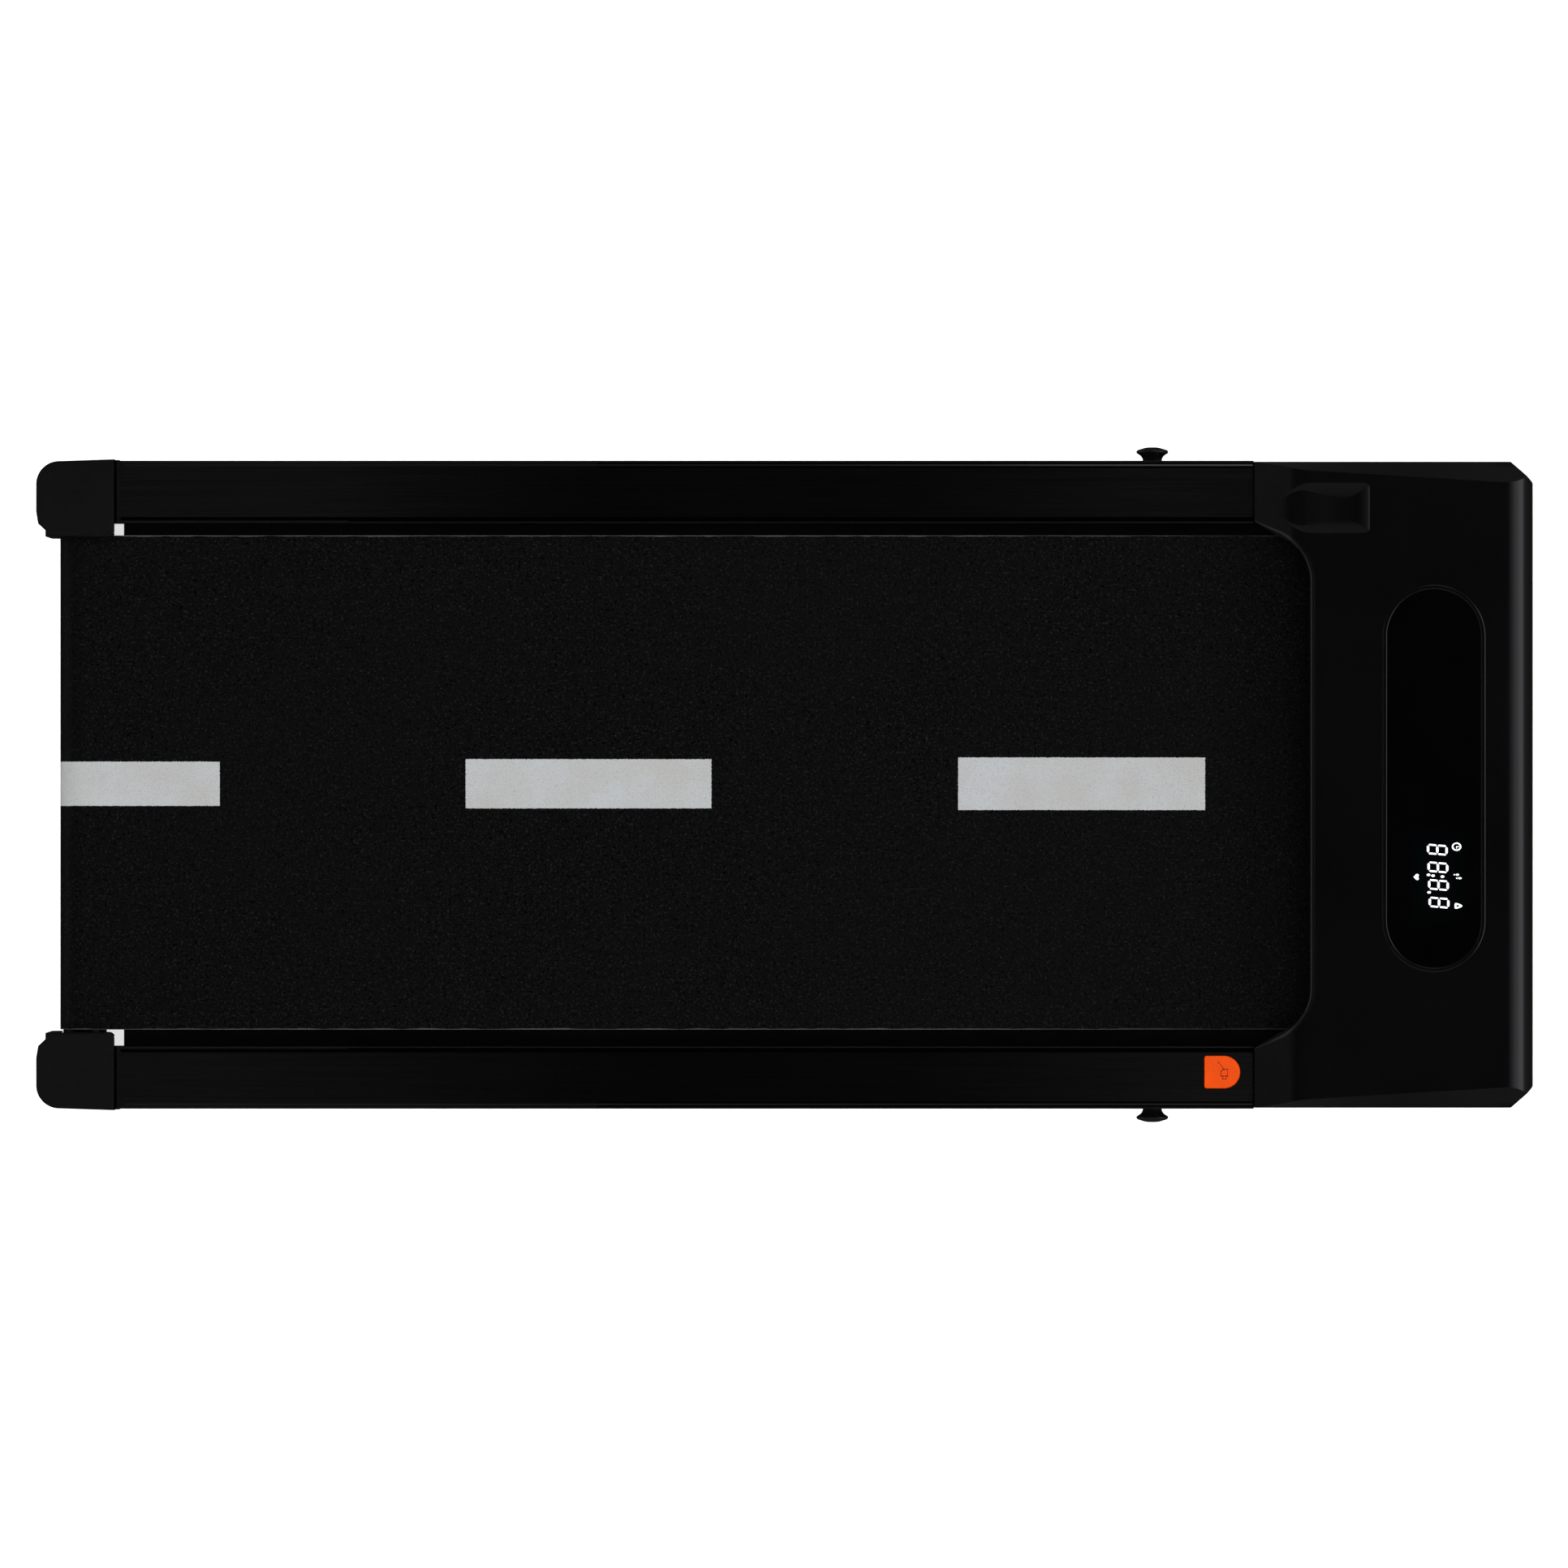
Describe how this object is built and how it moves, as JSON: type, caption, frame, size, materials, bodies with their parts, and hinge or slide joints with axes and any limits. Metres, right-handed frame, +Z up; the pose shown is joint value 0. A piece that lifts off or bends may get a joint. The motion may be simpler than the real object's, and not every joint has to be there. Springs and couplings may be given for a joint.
{
  "type": "walking pad treadmill",
  "caption": "Flat under-desk walking pad with a belt between ribbed side rails, rear end caps and a low motor hood with a display.",
  "frame": {"origin": "on the floor under the middle of the machine's box", "axes": "+X along the belt towards the motor hood, +Y to the walker's left, +Z up"},
  "size_m": [1.2, 0.544, 0.119],
  "materials": {
    "frame_paint": "black powder coat, fine orange peel",
    "rail_aluminium": "black anodised, ribbed, satin",
    "cap_plastic": "fine spark-eroded texture",
    "hood_plastic": "fine spark-eroded texture",
    "belt_rubber": "PVC walking belt with fine weave",
    "deck_wood": "black phenolic film over fibreboard",
    "soft_rubber": "matt moulded rubber",
    "zinc_steel": "zinc plated",
    "bearing_steel": "ground",
    "roller_steel": "turned and zinc plated",
    "pulley_aluminium": "turned",
    "flywheel_iron": "machined",
    "motor_paint": "black paint",
    "drive_rubber": "ribbed drive belt",
    "lens_plastic": "polished black smoked lens",
    "bezel_plastic": "satin black",
    "circuit_board": "solder mask",
    "sink_aluminium": "extruded",
    "orange_rubber": "moulded satin",
    "clip_plastic": "moulded",
    "knob_plastic": "satin moulded",
    "wheel_plastic": "moulded",
    "cable_sleeve": "braided sleeve",
    "socket_plastic": "moulded",
    "switch_plastic": "glossy moulded"
  },
  "bodies": {
    "root": {"axle_blocks": "frame_paint", "base_pan": "frame_paint", "breaker_body": "socket_plastic", "control_board": "circuit_board", "cross_member_1": "frame_paint", "cross_member_2": "frame_paint", "cross_member_3": "frame_paint", "cross_member_4": "frame_paint", "deck_board": "deck_wood", "deck_cushions": "soft_rubber", "deck_screws": "zinc_steel", "display_bezel": "bezel_plastic", "display_board": "circuit_board", "display_lead": "cable_sleeve", "display_lens": "lens_plastic", "drive_belt": "drive_rubber", "foot_screws": "zinc_steel", "frame_tube_left": "frame_paint", "frame_tube_right": "frame_paint", "front_axle": "zinc_steel", "heat_sink": "sink_aluminium", "hood": "hood_plastic", "hood_screws": "zinc_steel", "knob_bushes": "zinc_steel", "mains_inlet": "socket_plastic", "motor_can": "motor_paint", "motor_lead": "cable_sleeve", "motor_plate": "frame_paint", "motor_saddles": "frame_paint", "oil_port_liner": "clip_plastic", "power_panel": "frame_paint", "rail_clips": "clip_plastic", "rear_bracket_left": "frame_paint", "rear_bracket_right": "frame_paint", "rear_cap_left": "cap_plastic", "rear_cap_right": "cap_plastic", "rubber_feet": "soft_rubber", "side_rail_left": "rail_aluminium", "side_rail_right": "rail_aluminium", "switch_housing": "socket_plastic", "walking_belt": "belt_rubber", "wheel_bolts": "zinc_steel"},
    "front_roller": {"front_roller_tube": "roller_steel", "front_roller_bearings": "bearing_steel", "front_pulley": "pulley_aluminium"},
    "motor_rotor": {"motor_shaft": "zinc_steel", "motor_pulley": "pulley_aluminium", "flywheel": "flywheel_iron"},
    "rear_axle_carrier": {"rear_axle": "zinc_steel"},
    "rear_roller": {"rear_roller_tube": "roller_steel", "rear_roller_bearings": "bearing_steel"},
    "tension_bolt_left": {"tension_bolt_left": "zinc_steel"},
    "tension_bolt_right": {"tension_bolt_right": "zinc_steel"},
    "wheel_left": {"transport_wheel_left": "wheel_plastic"},
    "wheel_right": {"transport_wheel_right": "wheel_plastic"},
    "oil_plug": {"oil_plug": "orange_rubber"},
    "knob_left": {"side_knob_left": "knob_plastic"},
    "knob_right": {"side_knob_right": "knob_plastic"},
    "rocker": {"power_rocker": "switch_plastic"},
    "reset_button": {"breaker_button": "switch_plastic"}
  },
  "joints": [
    {"name": "front_roller_spin", "type": "hinge", "parent": "root", "child": "front_roller", "pos_m": [0.462, 0, 0.0575], "axis": [0, 1, 0], "continuous": true},
    {"name": "motor_spin", "type": "hinge", "parent": "root", "child": "motor_rotor", "pos_m": [0.522, 0, 0.064], "axis": [0, 1, 0], "continuous": true},
    {"name": "axle_tension", "type": "slide", "parent": "root", "child": "rear_axle_carrier", "axis": [1, 0, 0], "range_m": [0, 0.006]},
    {"name": "rear_roller_spin", "type": "hinge", "parent": "rear_axle_carrier", "child": "rear_roller", "pos_m": [-0.5632, 0, 0.0575], "axis": [0, 1, 0], "continuous": true},
    {"name": "tension_turn_left", "type": "hinge", "parent": "root", "child": "tension_bolt_left", "pos_m": [-0.586, 0.224, 0.0575], "axis": [1, 0, 0], "range_deg": [-1730, 2]},
    {"name": "tension_turn_right", "type": "hinge", "parent": "root", "child": "tension_bolt_right", "pos_m": [-0.586, -0.224, 0.0575], "axis": [1, 0, 0], "range_deg": [-1730, 2]},
    {"name": "wheel_left_spin", "type": "hinge", "parent": "root", "child": "wheel_left", "pos_m": [0.571, 0.205, 0.0235], "axis": [0, 1, 0], "continuous": true},
    {"name": "wheel_right_spin", "type": "hinge", "parent": "root", "child": "wheel_right", "pos_m": [0.571, -0.205, 0.0235], "axis": [0, 1, 0], "continuous": true},
    {"name": "oil_plug_pull", "type": "slide", "parent": "root", "child": "oil_plug", "axis": [0, 0, 1], "range_m": [0, 0.02]},
    {"name": "knob_left_turn", "type": "hinge", "parent": "root", "child": "knob_left", "pos_m": [0.2967, 0.26, 0.046], "axis": [0, 1, 0], "continuous": true},
    {"name": "knob_right_turn", "type": "hinge", "parent": "root", "child": "knob_right", "pos_m": [0.2967, -0.26, 0.046], "axis": [0, 1, 0], "continuous": true},
    {"name": "power_rocker_tilt", "type": "hinge", "parent": "root", "child": "rocker", "pos_m": [0.594, 0.112, 0.058], "axis": [0, 0, 1], "range_deg": [0, 16]},
    {"name": "breaker_reset_press", "type": "slide", "parent": "root", "child": "reset_button", "axis": [-1, 0, 0], "range_m": [0, 0.002], "stiffness_N_per_m": 400, "springref_m": -0.001}
  ],
  "couplings": [
    {"joint": "motor_spin", "follows": "front_roller_spin", "ratio": 2.8},
    {"joint": "rear_roller_spin", "follows": "front_roller_spin", "ratio": 1},
    {"joint": "tension_turn_left", "follows": "axle_tension", "rad_per_m": -5026.5},
    {"joint": "tension_turn_right", "follows": "axle_tension", "rad_per_m": -5026.5}
  ]
}
